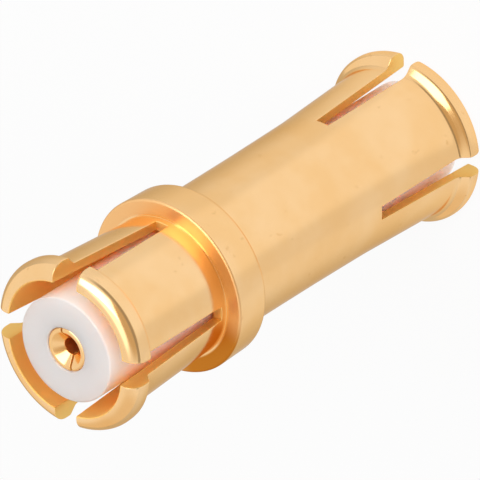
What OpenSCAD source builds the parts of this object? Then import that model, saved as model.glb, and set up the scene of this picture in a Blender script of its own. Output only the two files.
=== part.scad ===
/* [Outer body] */
// Length over the finger tips of both ends
overall_len = 9.34; // [9:0.02:12]
// Outside diameter of the plain tube
tube_d = 2.61; // [2.55:0.01:2.7]
// Bore that grips the insulators between the two sets of slots
land_d = 1.96; // [1.86:0.02:2.04]
// Bore under the spring fingers before they are spread
relief_d = 2.22; // [2.16:0.01:2.28]
// How far the relieved bore runs past the slot roots
relief_over = 0.15; // [0.1:0.05:0.3]

/* [Spring fingers and lips] */
// Slot length of the upper end from finger tip to slot root
upper_slot_len = 2.57; // [2.4:0.01:2.6]
// Slot length of the lower end from finger tip to slot root
lower_slot_len = 2.49; // [2.4:0.01:2.6]
// Distance from the slot root to the bend where the fingers are spread
bend_back = 0.06; // [0.04:0.01:0.2]
// Width of the saw cut at its root
slot_w = 0.264; // [0.2:0.004:0.32]
// Number of saw cuts across the diameter at each end
slot_cuts = 2; // [2:1:3]
// Angle by which the upper fingers are spread outward
upper_spread = 3.6; // [2.4:0.1:3.8]
// Angle by which the lower fingers are spread outward
lower_spread = 2.8; // [2:0.1:3]
// How far the tube is belled out at the lower slot roots
root_flare = 0.02; // [0.01:0.005:0.04]
// Length of tube over which it bells out
flare_len = 1.4; // [0.8:0.1:1.4]
// Diameter over the lips of the spread fingers
lip_d = 3.2; // [3.1:0.02:3.3]
// Radius of the rounded nose of the lip
nose_r = 0.22; // [0.2:0.01:0.26]
// Distance from the tip at which the back of the lip starts to fall
crest_back = 0.39; // [0.37:0.01:0.42]
// Length over which the back of the lip falls to the finger
lip_back_len = 0.14; // [0.12:0.01:0.18]
// Rounding of the lip crest at its back
crest_r = 0.12; // [0.06:0.01:0.13]
// Fillet between the back of the lip and the finger
lip_fillet_r = 0.2; // [0.1:0.01:0.22]
// Chamfer inside the finger tip
tip_chamfer = 0.05; // [0.03:0.01:0.07]

/* [Collar] */
// Diameter of the collar at its upper edge
collar_d = 3.23; // [3.1:0.01:3.4]
// How much the collar narrows in diameter towards its lower edge
collar_taper = 0.05; // [0:0.01:0.1]
// Distance of the upper face of the collar from the upper finger tips
collar_from_tip = 2.69; // [2.66:0.01:3]
// Height of the collar
collar_h = 0.76; // [0.5:0.02:1]
// Radius left by the tool in the corner above the collar
collar_corner_r = 0.03; // [0.02:0.01:0.06]
// Radius of the lower edge of the collar
collar_edge_r = 0.12; // [0.04:0.01:0.15]
// Radius of the upper edge of the collar
collar_top_r = 0.05; // [0.02:0.01:0.06]

/* [Insulators] */
// Distance of each insulator face behind the finger tips
face_recess = 0.02; // [0:0.01:0.3]
// Broken edge around each insulator
face_break = 0.03; // [0.02:0.01:0.05]

/* [Centre contact] */
// Diameter of the contact
contact_d = 0.82; // [0.78:0.02:0.9]
// Distance of the contact mouth behind the insulator face
mouth_recess = 0.01; // [0:0.01:0.1]
// Outer rounding of the contact mouth
mouth_r = 0.05; // [0.03:0.01:0.06]
// Bore of each pin socket
socket_d = 0.3; // [0.28:0.01:0.38]
// Depth of each pin socket
socket_depth = 1.6; // [1.5:0.1:2]
// Width of the conical lead-in at the mouth of each socket
lead_in = 0.17; // [0.05:0.01:0.17]
// Slope of the lead-in from the face of the contact
lead_in_slope = 40; // [20:1:50]
// Width of the slit that lets the socket spring open
slit_w = 0.04; // [0.03:0.01:0.08]
// Length of the slit
slit_len = 1.4; // [1:0.1:1.4]
// Turn of the slit about the axis
slit_turn = 16; // [0:1:89]
// Diameter of the shoulder held between the insulators
shoulder_d = 1.24; // [1.1:0.02:1.4]
// Length of the shoulder
shoulder_len = 0.7; // [0.4:0.1:1]

/* [Fits] */
// Radial gap between the insulators and the pieces around and inside them
seat_gap = 0.005; // [0.002:0.001:0.01]
// Axial gap at the shoulder and where the insulators meet
end_gap = 0.005; // [0.002:0.001:0.01]

/* [Hidden] */
$fn = 96;
arc_steps = 8;
through = 0.5;
gold = [0.94, 0.75, 0.48];
contact_gold = [0.93, 0.76, 0.5];
white = [0.93, 0.91, 0.9];

tube_r = tube_d / 2;
land_r = land_d / 2;
relief_r = relief_d / 2;
lip_r = lip_d / 2;
collar_r = collar_d / 2;
upper_bend = upper_slot_len - bend_back;
lower_bend = lower_slot_len - bend_back;
lip_foot = crest_back + lip_back_len;
collar_top = overall_len - collar_from_tip;
collar_bottom = collar_top - collar_h;
low_rim_r = collar_r - collar_taper / 2;
insulator_r = land_r - seat_gap;
insulator_len = overall_len / 2 - face_recess - end_gap / 2;
contact_r = contact_d / 2;
contact_bore_r = contact_r + seat_gap;
shoulder_r = shoulder_d / 2;
pocket_r = shoulder_r + seat_gap;
pocket_depth = shoulder_len / 2 + end_gap / 2;
contact_inset = face_recess + mouth_recess;
contact_len = overall_len - 2 * contact_inset;
socket_r = socket_d / 2;
lead_in_depth = lead_in * tan(lead_in_slope);

function unit(v) = v / norm(v);

// Smallest turn that leads from one direction to another
function turn_to(a) = a > 180 ? a - 360 : a < -180 ? a + 360 : a;

// Arc that rounds the corner between two neighbours in the radius and height plane
function rounded(before, corner, after, r) =
    let (
        a = unit(before - corner),
        b = unit(after - corner),
        half = acos(a * b) / 2,
        centre = corner + unit(a + b) * r / sin(half),
        from = corner + a * r / tan(half) - centre,
        to = corner + b * r / tan(half) - centre,
        start = atan2(from.y, from.x),
        turn = turn_to(atan2(to.y, to.x) - start)
    )
    [
        for (i = [0:arc_steps])
            centre + r * [cos(start + turn * i / arc_steps), sin(start + turn * i / arc_steps)]
    ];

// Outline of one finger, inside first, from its bend round the tip and back, tip at zero height
function finger_outline(bend_len, spread, flare) =
    let (
        splay = tan(spread),
        bore = relief_r + flare,
        surface = tube_r + flare,
        tip_bore = bore + splay * (bend_len - tip_chamfer),
        tip_in = [tip_bore + tip_chamfer, 0],
        nose = [lip_r, 0],
        crest = [lip_r, crest_back],
        foot = [surface + splay * (bend_len - lip_foot), lip_foot],
        bend = [surface, bend_len]
    )
    concat(
        [
            [bore, bend_len],
            [tip_bore, tip_chamfer],
            tip_in
        ],
        rounded(tip_in, nose, crest, nose_r),
        rounded(nose, crest, foot, crest_r),
        rounded(crest, foot, bend, lip_fillet_r),
        [bend]
    );

// Outline of the collar from its lower corner to its upper corner
function collar_outline() =
    let (
        low = [tube_r, collar_bottom],
        low_rim = [low_rim_r, collar_bottom],
        high_rim = [collar_r, collar_top],
        high = [tube_r, collar_top],
        above = [tube_r, overall_len]
    )
    concat(
        [low],
        rounded(low, low_rim, high_rim, collar_edge_r),
        rounded(low_rim, high_rim, high, collar_top_r),
        rounded(high_rim, high, above, collar_corner_r)
    );

// The same points seen from the other end of a length and taken in the other order
function other_end(points, length) = [
    for (i = [len(points) - 1:-1:0])
        [points[i].x, length - points[i].y]
];

// Saw cuts at the end with its tips at zero height, opened by the spread of the fingers
module saw_cuts(slot_len, spread) {
    reach = lip_d + through;
    opening = 2 * tan(spread) * (slot_len - bend_back) * sin(90 / slot_cuts);
    tip_w = slot_w + opening * (1 + through / slot_len);
    for (i = [0:slot_cuts - 1])
        rotate([0, 0, i * 180 / slot_cuts])
            translate([0, reach / 2, 0])
                rotate([90, 0, 0])
                    linear_extrude(height = reach)
                        polygon([
                            [-slot_w / 2, slot_len],
                            [slot_w / 2, slot_len],
                            [tip_w / 2, -through],
                            [-tip_w / 2, -through]
                        ]);
}

module outer_body() {
    upper_land = overall_len - upper_slot_len - relief_over;
    lower_land = lower_slot_len + relief_over;
    color(gold)
        difference() {
            rotate_extrude()
                polygon(concat(
                    [
                        [land_r, upper_land],
                        [land_r, lower_land],
                        [relief_r, lower_land]
                    ],
                    finger_outline(lower_bend, lower_spread, root_flare),
                    [[tube_r, lower_bend + flare_len]],
                    collar_outline(),
                    other_end(finger_outline(upper_bend, upper_spread, 0), overall_len),
                    [[relief_r, upper_land]]
                ));
            saw_cuts(lower_slot_len, lower_spread);
            translate([0, 0, overall_len])
                mirror([0, 0, 1])
                    saw_cuts(upper_slot_len, upper_spread);
        }
}

// One insulator with its outer face at the bottom
module insulator() {
    color(white)
        rotate_extrude()
            polygon([
                [contact_bore_r, 0],
                [insulator_r - face_break, 0],
                [insulator_r, face_break],
                [insulator_r, insulator_len],
                [pocket_r, insulator_len],
                [pocket_r, insulator_len - pocket_depth],
                [contact_bore_r, insulator_len - pocket_depth]
            ]);
}

module lower_insulator() {
    translate([0, 0, face_recess])
        insulator();
}

module upper_insulator() {
    translate([0, 0, overall_len - face_recess])
        mirror([0, 0, 1])
            insulator();
}

// Outline of one half of the contact, socket first, mouth at zero height
function contact_half() =
    let (
        floor_edge = [socket_r, socket_depth],
        bore_mouth = [socket_r, lead_in_depth],
        lead = [socket_r + lead_in, 0],
        rim = [contact_r, 0],
        stem = [contact_r, (contact_len - shoulder_len) / 2]
    )
    concat(
        [
            [0, socket_depth],
            floor_edge,
            bore_mouth,
            lead
        ],
        rounded(lead, rim, stem, mouth_r),
        [
            stem,
            [shoulder_r, stem.y]
        ]
    );

// Slit at the end of the contact with its mouth at zero height
module contact_slit() {
    rotate([0, 0, slit_turn])
        translate([-contact_d, -slit_w / 2, -through])
            cube([2 * contact_d, slit_w, slit_len + through]);
}

module centre_contact() {
    color(contact_gold)
        translate([0, 0, contact_inset])
            difference() {
                rotate_extrude()
                    polygon(concat(contact_half(), other_end(contact_half(), contact_len)));
                contact_slit();
                translate([0, 0, contact_len])
                    mirror([0, 0, 1])
                        contact_slit();
            }
}

outer_body();
upper_insulator();
lower_insulator();
centre_contact();
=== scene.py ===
import math
import bmesh
import bpy
from mathutils import Matrix, Vector


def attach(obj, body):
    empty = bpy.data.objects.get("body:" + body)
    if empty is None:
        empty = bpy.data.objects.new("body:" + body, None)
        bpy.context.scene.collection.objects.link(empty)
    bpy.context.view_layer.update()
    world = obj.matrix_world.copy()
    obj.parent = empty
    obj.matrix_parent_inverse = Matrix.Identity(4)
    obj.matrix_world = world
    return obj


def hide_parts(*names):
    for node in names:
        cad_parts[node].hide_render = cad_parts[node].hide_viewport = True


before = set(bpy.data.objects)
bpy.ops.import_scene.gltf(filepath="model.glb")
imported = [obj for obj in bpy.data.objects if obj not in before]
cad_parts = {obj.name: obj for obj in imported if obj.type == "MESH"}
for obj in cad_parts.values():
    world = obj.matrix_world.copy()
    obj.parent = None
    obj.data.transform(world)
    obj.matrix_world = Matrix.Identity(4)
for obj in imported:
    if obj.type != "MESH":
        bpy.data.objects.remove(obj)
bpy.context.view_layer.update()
print("frame loaded", sorted(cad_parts))

# pieces are drawn in millimetres and scaled once, in finishPiece
mmPerMetre = 1000
# how near counts as the same place
touch = {"row": 1e-5, "cut": 1e-4, "merge": 2e-4, "wall": 2e-4, "level": 1e-3}


def roundCorners(corners, closed, stepDeg=9):
    points = []
    count = len(corners)
    for i, (r, z, rounding) in enumerate(corners):  # radius, height, rounding of the corner
        here = Vector((r, z))
        if rounding == 0 or (not closed and i in (0, count - 1)):
            points.append(here)
            continue
        toPrev = (Vector(corners[i - 1][:2]) - here).normalized()
        toNext = (Vector(corners[(i + 1) % count][:2]) - here).normalized()
        opening = toPrev.angle(toNext)
        reach = rounding / math.tan(opening / 2)
        centre = here + (toPrev + toNext).normalized() * rounding / math.sin(opening / 2)
        start = here + toPrev * reach - centre
        turn = start.angle_signed(here + toNext * reach - centre)
        steps = max(2, math.ceil(abs(math.degrees(turn)) / stepDeg))
        for k in range(steps + 1):
            arm = start.copy()
            arm.rotate(Matrix.Rotation(-turn * k / steps, 2))
            points.append(centre + arm)
    return points


def addRows(points, heights, closed):
    # extra profile points where the outline crosses the given heights
    out = []
    last = len(points) if closed else len(points) - 1
    for i, here in enumerate(points):
        out.append(here)
        if i >= last:
            continue
        there = points[(i + 1) % len(points)]
        low, high = sorted((here.y, there.y))
        hits = [(z - here.y) / (there.y - here.y) for z in heights
                if low + touch["row"] < z < high - touch["row"]]
        out.extend(here.lerp(there, t) for t in sorted(hits))
    return out


def mergeDoubles():
    bpy.ops.mesh.select_all(action="SELECT")
    bpy.ops.mesh.remove_doubles(threshold=touch["merge"])
    bpy.ops.mesh.select_all(action="SELECT")


def faceOutward():
    bpy.ops.mesh.select_all(action="SELECT")
    bpy.ops.mesh.normals_make_consistent(inside=False)


def turnProfile(name, points, closed, sectors):
    # one corner is drawn out along the profile, then spun sector by sector
    bpy.ops.object.select_all(action="DESELECT")
    bpy.ops.mesh.primitive_plane_add(size=1, location=(0, 0, 0))
    piece = bpy.context.object
    piece.name = piece.data.name = name
    bpy.ops.object.mode_set(mode="EDIT")
    bpy.ops.mesh.select_all(action="SELECT")
    bpy.ops.mesh.merge(type="CENTER")
    bpy.ops.transform.translate(value=(points[0].x, 0, points[0].y))
    here = points[0]
    others = points[1:] + points[:1] if closed else points[1:]
    for there in others:
        step = (there.x - here.x, 0, there.y - here.y)
        bpy.ops.mesh.extrude_vertices_move(TRANSFORM_OT_translate={"value": step})
        here = there
    mergeDoubles()
    for steps, degrees in sectors:
        bpy.ops.mesh.spin(steps=steps, angle=math.radians(degrees), center=(0, 0, 0), axis=(0, 0, 1),
                          use_auto_merge=False)
    mergeDoubles()
    faceOutward()
    return piece


def slotAngle(co, centres):
    # degrees from the middle of the nearest slot
    a = math.degrees(math.atan2(co.y, co.x))
    return min(((a - c + 180) % 360 - 180 for c in centres), key=abs)


def slotOffset(co, cut):
    # distance from the middle plane of the nearest slot
    return abs(math.hypot(co.x, co.y) * math.sin(math.radians(slotAngle(co, cut["centres"]))))


def pickOnly(mesh, verts=(), edges=(), faces=()):
    for group in (mesh.verts, mesh.edges, mesh.faces):
        for part in group:
            part.select = False
    for part in (*verts, *edges, *faces):
        part.select_set(True)


def sawSlots(piece, cut):
    zones = [(min(zone), max(zone), zone[0]) for zone in cut["zones"]]  # each zone is root, tip
    half, share, width = cut["halfAngle"], cut["share"], cut["halfWidth"]

    def inZone(z):
        return any(low - touch["cut"] <= z <= high + touch["level"] for low, high, root in zones)

    mesh = bmesh.from_edit_mesh(piece.data)
    for v in mesh.verts:  # parallel walls instead of radial ones
        r = math.hypot(v.co.x, v.co.y)
        if not inZone(v.co.z) or r < width * 1.05:  # the walls don't reach the axis
            continue
        angle = slotAngle(v.co, cut["centres"])
        wall = math.degrees(math.asin(width / r))
        if abs(angle) <= half + touch["level"]:
            moved = angle * wall / half
        else:
            moved = math.copysign(wall + (abs(angle) - half) * (share - wall) / (share - half), angle)
        v.co.rotate(Matrix.Rotation(math.radians(moved - angle), 3, "Z"))
    waste = []
    for f in mesh.faces:
        mid = f.calc_center_median()
        near = abs(slotAngle(mid, cut["centres"])) < 60 and slotOffset(mid, cut) < width * 0.98
        if near and all(inZone(v.co.z) for v in f.verts):
            waste.append(f)
    pickOnly(mesh, faces=waste)
    bmesh.update_edit_mesh(piece.data)
    bpy.ops.mesh.delete(type="FACE")
    for low, high, root in zones:  # floor of each slot
        for centre in cut["centres"]:
            mesh = bmesh.from_edit_mesh(piece.data)
            rim = [e for e in mesh.edges if e.is_boundary and all(
                abs(v.co.z - root) < touch["level"] and abs(slotAngle(v.co, (centre,))) < share / 2
                for v in e.verts)]
            pickOnly(mesh, edges=rim)
            bmesh.update_edit_mesh(piece.data)
            bpy.ops.mesh.bridge_edge_loops()
    mesh = bmesh.from_edit_mesh(piece.data)
    pickOnly(mesh, edges=[e for e in mesh.edges if e.is_boundary])
    bmesh.update_edit_mesh(piece.data)
    bpy.ops.mesh.fill_holes(sides=0)  # the walls


def isWall(face, cut):
    flat = all(abs(slotOffset(v.co, cut) - cut["halfWidth"]) < touch["wall"] for v in face.verts)
    return flat and abs(face.normal.z) < 0.5


def isFloor(face, cut):
    atRoot = all(any(abs(v.co.z - zone[0]) < touch["level"] for zone in cut["zones"])
                 for v in face.verts)
    return atRoot and abs(face.normal.z) > 0.9


def facesAxis(face):
    mid = face.calc_center_median()
    return face.normal.x * mid.x + face.normal.y * mid.y < -0.5 * math.hypot(mid.x, mid.y)


def breakSlotEdges(piece, cut, rows):
    for z in rows:  # cross edges on the walls, so that they can bend with the fingers
        mesh = bmesh.from_edit_mesh(piece.data)
        pickOnly(mesh, faces=[f for f in mesh.faces if isWall(f, cut)])
        bmesh.update_edit_mesh(piece.data)
        bpy.ops.mesh.bisect(plane_co=(0, 0, z), plane_no=(0, 0, 1), threshold=touch["cut"])
    mesh = bmesh.from_edit_mesh(piece.data)
    sawn = mesh.faces.layers.float.new("sawn")  # read by the gold: a rougher cut finish, and a painted gold-on-gold reflection in the colour
    cutFaces = {f for f in mesh.faces if isWall(f, cut) or isFloor(f, cut)}
    for f in mesh.faces:
        f[sawn] = 1.0 if f in cutFaces else cut["boreFinish"] * facesAxis(f)
    rims = [e for e in mesh.edges
            if len(e.link_faces) == 2 and sum(f in cutFaces for f in e.link_faces) == 1]
    pickOnly(mesh, edges=rims)
    bmesh.update_edit_mesh(piece.data)
    bpy.ops.mesh.bevel(offset=cut["edgeBreak"], offset_type="OFFSET", segments=3, affect="EDGES",
                       clamp_overlap=True)
    print(piece.name, "cut faces", len(cutFaces), "edges broken", len(rims))


def applyPlace(piece):
    bpy.ops.object.select_all(action="DESELECT")
    piece.select_set(True)
    bpy.context.view_layer.objects.active = piece
    bpy.ops.object.transform_apply(location=True, rotation=True, scale=True)


def finishPiece(piece, turnDeg, smoothDeg=35):
    # millimetres to metres, turned to its place, everything applied
    faceOutward()
    bpy.ops.object.mode_set(mode="OBJECT")
    piece.rotation_euler = (0, 0, math.radians(turnDeg))
    piece.scale = [1 / mmPerMetre] * 3
    applyPlace(piece)
    bpy.ops.object.shade_smooth_by_angle(angle=math.radians(smoothDeg))
    print(piece.name, "polygons", len(piece.data.polygons))
    return piece


def placePiece(piece, node):
    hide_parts(node)
    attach(piece, "root")


body = {
    "length": 9.34, "tubeR": 1.305,
    "landR": 0.98, "landEdgeR": 0.01, "reliefR": 1.125, "reliefOver": 0.15,
    "slotWidth": 0.264, "edgeBreak": 0.012, "boreFinish": 1.5,  # the sawn walls are 1
    "lipR": 1.6, "lipHeight": 0.29, "tipChamfer": 0.02, "tipEdgeR": 0.012,
    "upper": {
        "slotLength": 2.57, "bendRows": (2.56, 2.535, 2.51, 2.485, 2.46),
        "spreadDeg": 3.6, "flare": 0,
        "crestBack": 0.39, "noseR": 0.28, "lipFoot": 0.53, "lipFilletR": 0.1, "crestR": 0.06,
        "extraDeg": {0: 0.2, 90: 0, 180: -0.6, 270: 1.0},  # no two fingers are bent quite alike
    },
    "lower": {
        "slotLength": 2.49, "bendRows": (2.48, 2.455, 2.43, 2.405, 2.38),
        "spreadDeg": 2.8, "flare": 0.02,
        "crestBack": 0.33, "noseR": 0.22, "lipFoot": 0.47, "lipFilletR": 0.2, "crestR": 0.12,
        "extraDeg": {0: 0, 90: 0, 180: -0.7, 270: -0.5},
    },
    "flareFrom": 3.83, "flareR": 100,  # the tube bells out softly towards the lower slots
    "collarR": 1.615, "collarLowR": 1.59, "collarTop": 6.65, "collarBottom": 5.89,
    "collarFootR": 0.015, "collarCornerR": 0.005, "collarTopR": 0.05, "collarEdgeR": 0.12,
    "fingerColumns": 44, "slotColumns": 6, "fingerRows": (2.0, 1.6, 1.2, 0.8), "tubeRows": (2.8, 5.0),
    "turnDeg": 45,  # drawn with a finger on X, where a slot belongs
}


def spreadFingers(piece, b):
    hingeR = (b["tubeR"] + b["reliefR"]) / 2
    inQuarter = 0.7072  # a little over the cosine of 45 degrees
    for end in ("lower", "upper"):
        top, rows = end == "upper", b[end]["bendRows"]
        for finger, axis in ((0, "Y"), (90, "X"), (180, "Y"), (270, "X")):
            way = Vector((math.cos(math.radians(finger)), math.sin(math.radians(finger)), 0))
            lean = (-1 if finger in (0, 270) else 1) * (1 if top else -1)
            step = math.radians(b[end]["spreadDeg"] + b[end]["extraDeg"][finger]) / len(rows)
            for h in rows:
                hinge = b["length"] - h if top else h
                mesh = bmesh.from_edit_mesh(piece.data)
                beyond = []
                for v in mesh.verts:
                    past = v.co.z > hinge + touch["level"] if top else v.co.z < hinge - touch["level"]
                    if past and v.co.dot(way) > math.hypot(v.co.x, v.co.y) * inQuarter:
                        beyond.append(v)
                pickOnly(mesh, verts=beyond)
                mesh.select_flush(True)
                bmesh.update_edit_mesh(piece.data)
                centre = way * hingeR + Vector((0, 0, hinge))
                bpy.ops.transform.rotate(value=step * lean, orient_axis=axis, center_override=centre)
    for tip in (0, b["length"]):  # tips level again after bending
        mesh = bmesh.from_edit_mesh(piece.data)
        pickOnly(mesh, verts=[v for v in mesh.verts if (v.co.z < 0 if tip == 0 else v.co.z > tip)])
        bmesh.update_edit_mesh(piece.data)
        bpy.ops.transform.resize(value=(1, 1, 0), center_override=(0, 0, tip))


def fingerCorners(b, end):
    # inside of the bend, round the tip, outside of the bend; tip at zero height and not yet spread
    e = b[end]
    bend = e["bendRows"][2]  # the middle one
    bore, surface = b["reliefR"] + e["flare"], b["tubeR"] + e["flare"]
    lip = b["lipR"] - math.tan(math.radians(e["spreadDeg"])) * (bend - b["lipHeight"])
    return [
        (bore, bend, 0),
        (bore, b["tipChamfer"], b["tipEdgeR"]),
        (bore + b["tipChamfer"], 0, b["tipEdgeR"]),
        (lip, 0, e["noseR"]),
        (lip, e["crestBack"], e["crestR"]),
        (surface, e["lipFoot"], e["lipFilletR"]),
        (surface, bend, 0),
    ]


def makeBody(b):
    length, upper, lower = b["length"], b["upper"], b["lower"]
    collar = [
        (b["tubeR"], b["collarBottom"], b["collarFootR"]),
        (b["collarLowR"], b["collarBottom"], b["collarEdgeR"]),
        (b["collarR"], b["collarTop"], b["collarTopR"]),
        (b["tubeR"], b["collarTop"], b["collarCornerR"]),
    ]
    landTop = length - upper["slotLength"] - b["reliefOver"]
    landBottom = lower["slotLength"] + b["reliefOver"]
    bore = [
        (b["reliefR"], landTop, b["landEdgeR"]),
        (b["landR"], landTop, b["landEdgeR"]),
        (b["landR"], landBottom, b["landEdgeR"]),
        (b["reliefR"], landBottom, b["landEdgeR"]),
    ]
    farFinger = [(r, length - z, rounding) for r, z, rounding in reversed(fingerCorners(b, "upper"))]
    flare = [(b["tubeR"], b["flareFrom"], b["flareR"])]
    outline = roundCorners(fingerCorners(b, "lower") + flare + collar + farFinger + bore, True)
    roots = (lower["slotLength"], length - upper["slotLength"])
    along = [*lower["bendRows"], *b["fingerRows"]]
    along += [length - h for h in (*upper["bendRows"], *b["fingerRows"])]
    points = addRows(outline, [*roots, *along, *b["tubeRows"]], True)
    halfSlot = math.degrees(math.asin(b["slotWidth"] / 2 / b["tubeR"]))
    full, slot = (b["fingerColumns"], 90 - 2 * halfSlot), (b["slotColumns"], 2 * halfSlot)
    half = (full[0] // 2, full[1] / 2)
    sectors = [half, slot, full, slot, full, slot, full, slot, half]
    piece = turnProfile("body_turned", points, True, sectors)
    cut = {
        "centres": (45, 135, 225, 315), "share": 45,
        "halfAngle": halfSlot, "halfWidth": b["slotWidth"] / 2,
        "zones": ((roots[0], 0), (roots[1], length)),
        "edgeBreak": b["edgeBreak"], "boreFinish": b["boreFinish"],
    }
    sawSlots(piece, cut)
    breakSlotEdges(piece, cut, along)
    spreadFingers(piece, b)
    return finishPiece(piece, b["turnDeg"])


bodyPiece = makeBody(body)
placePiece(bodyPiece, "outer_body")


sleeve = {
    "outerR": 0.975, "boreR": 0.415, "boreEdgeR": 0.006, "face": 0.02, "faceEdgeR": 0.03,
    "inner": 4.6675, "pocketR": 0.625, "pocketTop": 4.315, "innerEdgeR": 0.01,
    "rows": (0.6, 1.2, 1.8, 2.4, 3.0, 3.6), "columns": 144,
}


def makeSleeve(s):
    corners = [
        (s["boreR"], s["face"], s["boreEdgeR"]),
        (s["outerR"], s["face"], s["faceEdgeR"]),
        (s["outerR"], s["inner"], s["innerEdgeR"]),
        (s["pocketR"], s["inner"], s["innerEdgeR"]),
        (s["pocketR"], s["pocketTop"], s["innerEdgeR"]),
        (s["boreR"], s["pocketTop"], s["innerEdgeR"]),
    ]
    points = addRows(roundCorners(corners, True), s["rows"], True)
    return finishPiece(turnProfile("sleeve_lower", points, True, [(s["columns"], 360)]), 0)


def turnedCopy(piece, name, length):
    # the same piece put in from the other end
    twin = piece.copy()
    twin.data = piece.data.copy()
    twin.name = twin.data.name = name
    bpy.context.scene.collection.objects.link(twin)
    twin.rotation_euler = (math.pi, 0, 0)
    twin.location = (0, 0, length / mmPerMetre)
    applyPlace(twin)
    return twin


lowerSleeve = makeSleeve(sleeve)
upperSleeve = turnedCopy(lowerSleeve, "sleeve_upper", body["length"])
placePiece(lowerSleeve, "lower_insulator")
placePiece(upperSleeve, "upper_insulator")


contact = {
    "radius": 0.41, "inset": 0.03, "mouthR": 0.05, "mouthEdgeR": 0.012,
    "socketR": 0.15, "socketDepth": 1.6, "socketEdgeR": 0.01,
    "leadIn": 0.17, "leadInDepth": 0.1426, "throatR": 0.03,
    "shoulderR": 0.62, "shoulderLow": 4.32, "shoulderEdgeR": 0.02, "shoulderFootR": 0.01,
    "slitWidth": 0.04, "slitLength": 1.4, "slitRow": 0.7, "slitTurn": 16, "edgeBreak": 0.005,
    "boreFinish": 0, "columns": 46, "slitColumns": 2,
}


def makeContact(c, length):
    low, high = c["inset"], length - c["inset"]
    lower = [
        (0, low + c["socketDepth"], 0),
        (c["socketR"], low + c["socketDepth"], c["socketEdgeR"]),
        (c["socketR"], low + c["leadInDepth"], c["throatR"]),
        (c["socketR"] + c["leadIn"], low, c["mouthEdgeR"]),
        (c["radius"], low, c["mouthR"]),
        (c["radius"], c["shoulderLow"], c["shoulderFootR"]),
        (c["shoulderR"], c["shoulderLow"], c["shoulderEdgeR"]),
    ]
    corners = lower + [(r, length - z, rounding) for r, z, rounding in reversed(lower)]
    roots = (low + c["slitLength"], high - c["slitLength"])
    rows = [*roots, low + c["slitRow"], high - c["slitRow"]]
    points = addRows(roundCorners(corners, False), rows, False)
    halfSlit = math.degrees(math.asin(c["slitWidth"] / 2 / c["radius"]))
    full, slit = (c["columns"], 180 - 2 * halfSlit), (c["slitColumns"], 2 * halfSlit)
    half = (full[0] // 2, full[1] / 2)
    piece = turnProfile("contact_turned", points, False, [half, slit, full, slit, half])
    cut = {
        "centres": (90, 270), "share": 90,
        "halfAngle": halfSlit, "halfWidth": c["slitWidth"] / 2,
        "zones": ((roots[0], low), (roots[1], high)),
        "edgeBreak": c["edgeBreak"], "boreFinish": c["boreFinish"],
    }
    sawSlots(piece, cut)
    breakSlotEdges(piece, cut, [])
    return finishPiece(piece, c["slitTurn"] - 90)  # the slit is drawn on Y


contactPiece = makeContact(contact, body["length"])
placePiece(contactPiece, "centre_contact")
print("pieces made")


def wayTo(azimuth, elevation):
    a, e = math.radians(azimuth), math.radians(elevation)
    return Vector((math.cos(e) * math.cos(a), math.cos(e) * math.sin(a), math.sin(e)))


class Val:
    # wraps a socket, so that shader maths reads as an expression
    def __init__(self, bench, socket):
        self.bench, self.socket = bench, socket

    def maths(self, operation, a, b):
        return self.bench.val("ShaderNodeMath", {"operation": operation}, {0: a, 1: b})

    def __add__(self, other):
        return self.maths("ADD", self, other)

    def __radd__(self, other):
        return self.maths("ADD", other, self)

    def __sub__(self, other):
        return self.maths("SUBTRACT", self, other)

    def __rsub__(self, other):
        return self.maths("SUBTRACT", other, self)

    def __mul__(self, other):
        return self.maths("MULTIPLY", self, other)


class Bench:
    # makes the nodes of one material or world
    def __init__(self, owner):
        owner.use_nodes = True
        self.tree = owner.node_tree
        self.tree.nodes.clear()

    def node(self, kind, settings=None, sockets=None):
        made = self.tree.nodes.new(kind)
        for key, value in (settings or {}).items():
            setattr(made, key, value)
        for key, value in (sockets or {}).items():
            if isinstance(value, Val):
                self.tree.links.new(value.socket, made.inputs[key])
            elif isinstance(value, bpy.types.NodeSocket):
                self.tree.links.new(value, made.inputs[key])
            else:
                made.inputs[key].default_value = value
        return made

    def val(self, kind, settings=None, sockets=None, out=0):
        return Val(self, self.node(kind, settings, sockets).outputs[out])

    def smooth(self, value, low, high):
        return self.val("ShaderNodeMapRange", {"interpolation_type": "SMOOTHSTEP"},
                        {"Value": value, "From Min": low, "From Max": high})

    def mix(self, factor, a, b):
        return self.node("ShaderNodeMix", {"data_type": "RGBA"}, {0: factor, 6: a, 7: b}).outputs[2]

    def over(self, factor, under, upper):
        return self.node("ShaderNodeMixShader", None, {0: factor, 1: under, 2: upper}).outputs[0]

    def facing(self, way, azimuth, elevation):
        return self.val("ShaderNodeVectorMath", {"operation": "DOT_PRODUCT"},
                        {0: way, 1: wayTo(azimuth, elevation)}, out=1)

    def normalized(self, vector):
        return self.node("ShaderNodeVectorMath", {"operation": "NORMALIZE"}, {0: vector}).outputs[0]


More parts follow.
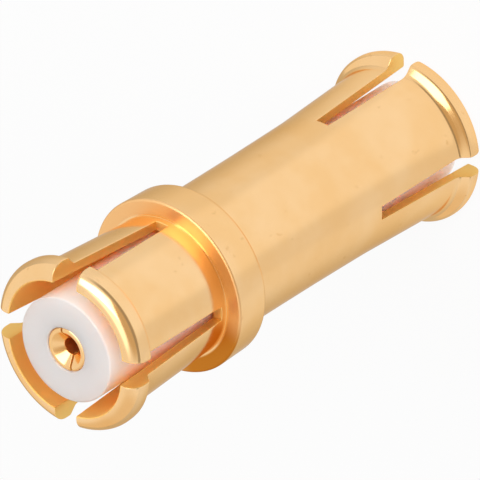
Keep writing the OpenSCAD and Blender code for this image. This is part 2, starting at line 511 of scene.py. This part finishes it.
gold = {
    "light": (0.99, 0.662, 0.342, 1), "deep": (0.955, 0.597, 0.268, 1), "tint": (1.0, 0.8, 0.55, 1),
    "cloudScale": 900, "cloudSpan": (0.3, 0.7), "roughness": 0.15, "roughnessSpread": 0.05,
    "ringPitch": 26000, "ringHeight": 0.04, "bumpDistance": 0.00001,  # turning marks
    "speckScale": 5200, "speckSpan": (0.68, 0.78), "speckShare": 0.5, "speckTone": (0.8, 0.44, 0.17, 1),
    "face": (6.6, 6.66, 1.32, 1.36), "faceBlend": (0.00003, 0.00001),  # heights and radii, soft edges
    # the collar face's tone is a painted reflection, the deeper orange of gold seen in gold; its
    # roughness is real
    "facePaintedReflection": (0.93, 0.56, 0.25, 1), "faceRoughness": 0.28,
    # painted shade on one side of the collar face: the way it faces, how far it reaches, its brown
    "paintedShadeWay": -137, "paintedShadeSpan": (0.72, 0.93), "paintedShadeTone": (0.6, 0.22, 0.025, 1),
    # the bore tone is painted shade down the contact's socket; the bore roughness is real
    "boreR": 0.152, "boreBlend": 0.000003, "boreShadeTone": (0.9, 0.48, 0.17, 1), "boreRoughness": 0.3,
    # the sawn tone is a painted gold-on-gold reflection in cut walls and inner bores; the sawn
    # roughness is real
    "recessReflectionTone": (0.955, 0.66, 0.23, 1), "sawnRoughness": 0.4,
}


def makeGold(name, look):
    material = bpy.data.materials.new(name)
    bench = Bench(material)
    place = bench.val("ShaderNodeTexCoord", out=3)  # object coordinates
    height = Val(bench, bench.node("ShaderNodeSeparateXYZ", None, {0: place}).outputs[2])
    cloud = bench.val("ShaderNodeTexNoise", None,
                      {"Vector": place, "Scale": look["cloudScale"], "Detail": 3})
    rings = bench.val("ShaderNodeTexNoise", {"noise_dimensions": "1D"},
                      {"W": height * look["ringPitch"], "Scale": 1, "Detail": 3, "Roughness": 0.6})
    z0, z1, r0, r1 = (mm / mmPerMetre for mm in look["face"])  # the collar face keeps coarser tool marks, and its colour holds a painted reflection of the gold beside it
    flat = bench.node("ShaderNodeVectorMath", {"operation": "MULTIPLY"},
                      {0: place, 1: (1, 1, 0)}).outputs[0]
    radius = bench.val("ShaderNodeVectorMath", {"operation": "LENGTH"}, {0: flat}, out=1)
    blendLow, blendHigh = look["faceBlend"]
    faced = bench.smooth(radius, r0, r1) * bench.smooth(height, z0, z0 + blendLow)
    faced = faced * (1 - bench.smooth(height, z1, z1 + blendHigh))
    colour = bench.mix(bench.smooth(cloud, *look["cloudSpan"]), look["light"], look["deep"])
    speck = bench.val("ShaderNodeTexNoise", None,
                      {"Vector": place, "Scale": look["speckScale"], "Detail": 2})
    specked = bench.smooth(speck, *look["speckSpan"]) * look["speckShare"]
    colour = bench.mix(specked, colour, look["speckTone"])
    # painted reflection: the collar face is tinted the deeper orange of gold reflected in gold
    colour = bench.mix(faced, colour, look["facePaintedReflection"])
    # painted shade: the collar face turns brown on the side facing azimuth -137, standing in for the
    # darker room reflected there
    toward = bench.facing(bench.normalized(flat), look["paintedShadeWay"], 0)
    colour = bench.mix(faced * bench.smooth(toward, *look["paintedShadeSpan"]), colour, look["paintedShadeTone"])
    # painted shade: the socket bore is darkened orange, as shade down a hole; its roughness is the real
    # bore finish
    boreR = look["boreR"] / mmPerMetre
    bored = 1 - bench.smooth(radius, boreR, boreR + look["boreBlend"])
    colour = bench.mix(bored, colour, look["boreShadeTone"])
    sawn = bench.val("ShaderNodeAttribute", {"attribute_name": "sawn"}, out=2)
    # painted reflection: cut walls and bores facing the axis get the deeper orange of gold reflected in
    # gold
    colour = bench.mix(bench.smooth(sawn, 0, 1), colour, look["recessReflectionTone"])
    spread = look["roughnessSpread"]
    rough = look["roughness"] + (cloud - 0.5) * spread + (rings - 0.5) * spread
    rough = rough + faced * look["faceRoughness"] + sawn * look["sawnRoughness"]
    rough = rough + bored * look["boreRoughness"]
    bump = bench.node("ShaderNodeBump", None, {
        "Strength": look["ringHeight"], "Distance": look["bumpDistance"], "Height": rings})
    shader = bench.node("ShaderNodeBsdfPrincipled", None, {
        "Base Color": colour, "Metallic": 1.0, "Roughness": rough, "Normal": bump.outputs[0],
        "Specular Tint": look["tint"]})
    bench.node("ShaderNodeOutputMaterial", None, {0: shader.outputs[0]})
    return material


white = {
    "light": (0.985, 0.895, 0.87, 1), "deep": (0.98, 0.88, 0.855, 1),
    "cloudScale": 2500, "cloudSpan": (0.25, 0.75),
    "roughness": 0.5, "bumpStrength": 0.1, "bumpDistance": 0.00001,
    "glowWeight": 0.7, "glowRadius": (1.0, 0.9, 0.85), "glowDepth": 0.0004,  # light sinks in
}


def makeWhite(name, look):
    material = bpy.data.materials.new(name)
    bench = Bench(material)
    place = bench.val("ShaderNodeTexCoord", out=3)  # object coordinates
    cloud = bench.val("ShaderNodeTexNoise", None,
                      {"Vector": place, "Scale": look["cloudScale"], "Detail": 4})
    colour = bench.mix(bench.smooth(cloud, *look["cloudSpan"]), look["light"], look["deep"])
    bump = bench.node("ShaderNodeBump", None, {
        "Strength": look["bumpStrength"], "Distance": look["bumpDistance"], "Height": cloud})
    shader = bench.node("ShaderNodeBsdfPrincipled", None, {
        "Base Color": colour, "Roughness": look["roughness"], "Normal": bump.outputs[0],
        "Subsurface Weight": look["glowWeight"], "Subsurface Radius": look["glowRadius"],
        "Subsurface Scale": look["glowDepth"]})
    bench.node("ShaderNodeOutputMaterial", None, {0: shader.outputs[0]})
    return material


bodyGold = makeGold("body_gold", gold)
contactGold = makeGold("contact_gold", gold)
sleeveWhite = makeWhite("insulator_white", white)
for piece, material in ((bodyPiece, bodyGold), (contactPiece, contactGold),
                        (upperSleeve, sleeveWhite), (lowerSleeve, sleeveWhite)):
    piece.data.materials.clear()
    piece.data.materials.append(material)
print("materials made")


shot = {
    "axisDeg": 48.8, "rollDeg": -32.12, "azimuthDeg": -46.98, "distance": 0.24, "sensor": 36,
    "picture": 480, "pxPerMm": 58.6, "centre": (241.6, 239.65),  # pixels
}


def makeCamera(s, middle):
    tilt, roll, turn = (math.radians(s[k]) for k in ("axisDeg", "rollDeg", "azimuthDeg"))
    up = Vector((0, 0, 1))
    outward = Vector((math.cos(turn), math.sin(turn), 0))
    side = -up.cross(outward)
    along = -math.sin(tilt) * up + math.cos(tilt) * outward  # down the part's axis in the picture
    right = math.cos(roll) * along - math.sin(roll) * side
    down = math.sin(roll) * along + math.cos(roll) * side
    back = math.cos(tilt) * up + math.sin(tilt) * outward
    data = bpy.data.cameras.new("camera")
    camera = bpy.data.objects.new("camera", data)
    bpy.context.scene.collection.objects.link(camera)
    data.sensor_width = s["sensor"]
    data.lens = s["pxPerMm"] * mmPerMetre * s["distance"] * s["sensor"] / s["picture"]
    px = 1 / mmPerMetre / s["pxPerMm"]
    offRight, offDown = ((place - s["picture"] / 2) * px for place in s["centre"])
    spot = middle + back * s["distance"] - right * offRight - down * offDown
    camera.matrix_world = Matrix.Translation(spot) @ Matrix((right, -down, back)).transposed().to_4x4()
    bpy.context.scene.camera = camera


makeCamera(shot, Vector((0, 0, body["length"] / 2 / mmPerMetre)))
print("camera placed")


plainWhite = (1, 1, 1, 1)
studio = {
    "skyLevel": 0.95, "fillSky": 0.3,  # as the metal and as the plastic see it
    "zones": (  # other parts of the room: middle, inner and outer reach, colour
        {"way": (-64, 34), "deg": (20, 46), "tone": (0.62, 0.5, 0.34, 1)},
        {"way": (175, 12), "deg": (20, 50), "tone": (0.82, 0.72, 0.58, 1)},
        {"way": (-47, 84), "deg": (10, 26), "tone": (1.8, 1.8, 1.8, 1)},
    ),
    "horizon": (0.05, 0.12, 0.3, 0.42),  # a darker band low in the room: where it starts and ends
    "horizonWay": -60, "horizonSpan": (0.15, 0.65),
    "horizonTone": (0.36, 0.33, 0.28, 1),
    "floorSize": 4, "paper": (0.9, 0.9, 0.9, 1), "shadowShare": 0.07,
    "tableTone": (1, 1, 1, 1),  # lights the plastic from below, as a light table does
    "floorTone": (0.6, 0.6, 0.6, 1),  # as the metal sees it: behind the part, then nearer the front
    "sheets": (
        {"way": -47, "deg": (78, 143), "tone": (0.885, 0.88, 0.87, 1)},
        {"way": -34, "deg": (34, 50), "tone": (0.99, 0.99, 0.99, 1)},
        {"way": -94, "deg": (6, 18), "tone": (0.84, 0.83, 0.82, 1)},
    ),
    "key": {"way": (0, 56), "distance": 0.3, "size": (0.24, 0.22), "level": 2.2},
    "fill": {"way": (-47, 28), "distance": 0.3, "size": (0.2, 0.2), "level": 3.6},
    "bounces": 24, "glossyBounces": 16, "diffuseBounces": 8,
}


def lightPath(bench, *rays):
    path = bench.node("ShaderNodeLightPath")
    return [Val(bench, path.outputs[ray]) for ray in rays]


def reachOf(bench, way, middle, deg):
    # 1 within the inner angle from the middle, 0 beyond the outer one
    inner, outer = (math.cos(math.radians(d)) for d in deg)
    return bench.smooth(bench.facing(way, *middle), outer, inner)


def makeFloor(s):
    bpy.ops.object.select_all(action="DESELECT")
    bpy.ops.mesh.primitive_plane_add(size=s["floorSize"], location=(0, 0, 0))
    floor = bpy.context.object
    floor.name = "floor"
    material = bpy.data.materials.new("floor_white")
    bench = Bench(material)

    def glow(tone):
        return bench.node("ShaderNodeEmission", None, {"Color": tone, "Strength": 1.0}).outputs[0]

    camera, glossy, through = lightPath(bench, "Is Camera Ray", "Is Glossy Ray", "Is Transmission Ray")
    seen = camera + glossy + through
    ray = bench.normalized(bench.val("ShaderNodeTexCoord", out=3))  # object coordinates
    sheet = glow(s["floorTone"])
    for part in s["sheets"]:
        reach = reachOf(bench, ray, (part["way"], 0), part["deg"])
        sheet = bench.over(reach, sheet, glow(part["tone"]))
    sheet = bench.over(camera, sheet, glow(plainWhite))
    paper = bench.node("ShaderNodeBsdfDiffuse", None, {"Color": s["paper"]})
    table = bench.over(seen, glow(s["tableTone"]), paper.outputs[0])
    sheet = bench.over(seen * (1 - s["shadowShare"]), table, sheet)  # the rest keeps the shadow
    bench.node("ShaderNodeOutputMaterial", None, {0: sheet})
    floor.data.materials.append(material)


def makeWorld(s):
    world = bpy.data.worlds.new("studio")
    bpy.context.scene.world = world
    bench = Bench(world)

    def sky(tone, level=1.0):
        return bench.node("ShaderNodeBackground", None, {"Color": tone, "Strength": level}).outputs[0]

    camera, glossy = lightPath(bench, "Is Camera Ray", "Is Glossy Ray")
    way = bench.val("ShaderNodeTexCoord", out=0)  # the direction looked in
    room = sky(plainWhite, s["skyLevel"])
    for zone in s["zones"]:
        reach = reachOf(bench, way, zone["way"], zone["deg"])
        room = bench.over(reach, room, sky(zone["tone"]))
    height = Val(bench, bench.node("ShaderNodeSeparateXYZ", None, {0: way}).outputs[2])
    rim = bench.smooth(height, *s["horizon"][:2]) * (1 - bench.smooth(height, *s["horizon"][2:]))
    rim = rim * bench.smooth(bench.facing(way, s["horizonWay"], 0), *s["horizonSpan"])
    room = bench.over(rim, room, sky(s["horizonTone"]))
    room = bench.over(glossy, sky(plainWhite, s["fillSky"]), room)
    room = bench.over(camera, room, sky(plainWhite))
    bench.node("ShaderNodeOutputWorld", None, {0: room})


def makeLamp(name, s):
    way, (width, depth) = wayTo(*s["way"]), s["size"]
    data = bpy.data.lights.new(name, "AREA")
    data.shape = "RECTANGLE"
    data.size, data.size_y = width, depth
    data.energy = s["level"] * math.pi * width * depth  # a level of 1 is as bright as white paper
    lamp = bpy.data.objects.new(name, data)
    bpy.context.scene.collection.objects.link(lamp)
    lamp.location = way * s["distance"]
    lamp.rotation_euler = way.to_track_quat("Z", "Y").to_euler()
    lamp.visible_camera = False
    return lamp


makeFloor(studio)
makeWorld(studio)
makeLamp("key", studio["key"])
fill = makeLamp("fill", studio["fill"])  # from the camera's side, for the plastic in the slots
fill.visible_glossy = False
scene = bpy.context.scene
scene.view_settings.view_transform = "Standard"
scene.cycles.max_bounces = studio["bounces"]
scene.cycles.glossy_bounces = studio["glossyBounces"]
scene.cycles.diffuse_bounces = studio["diffuseBounces"]
print("stage set")
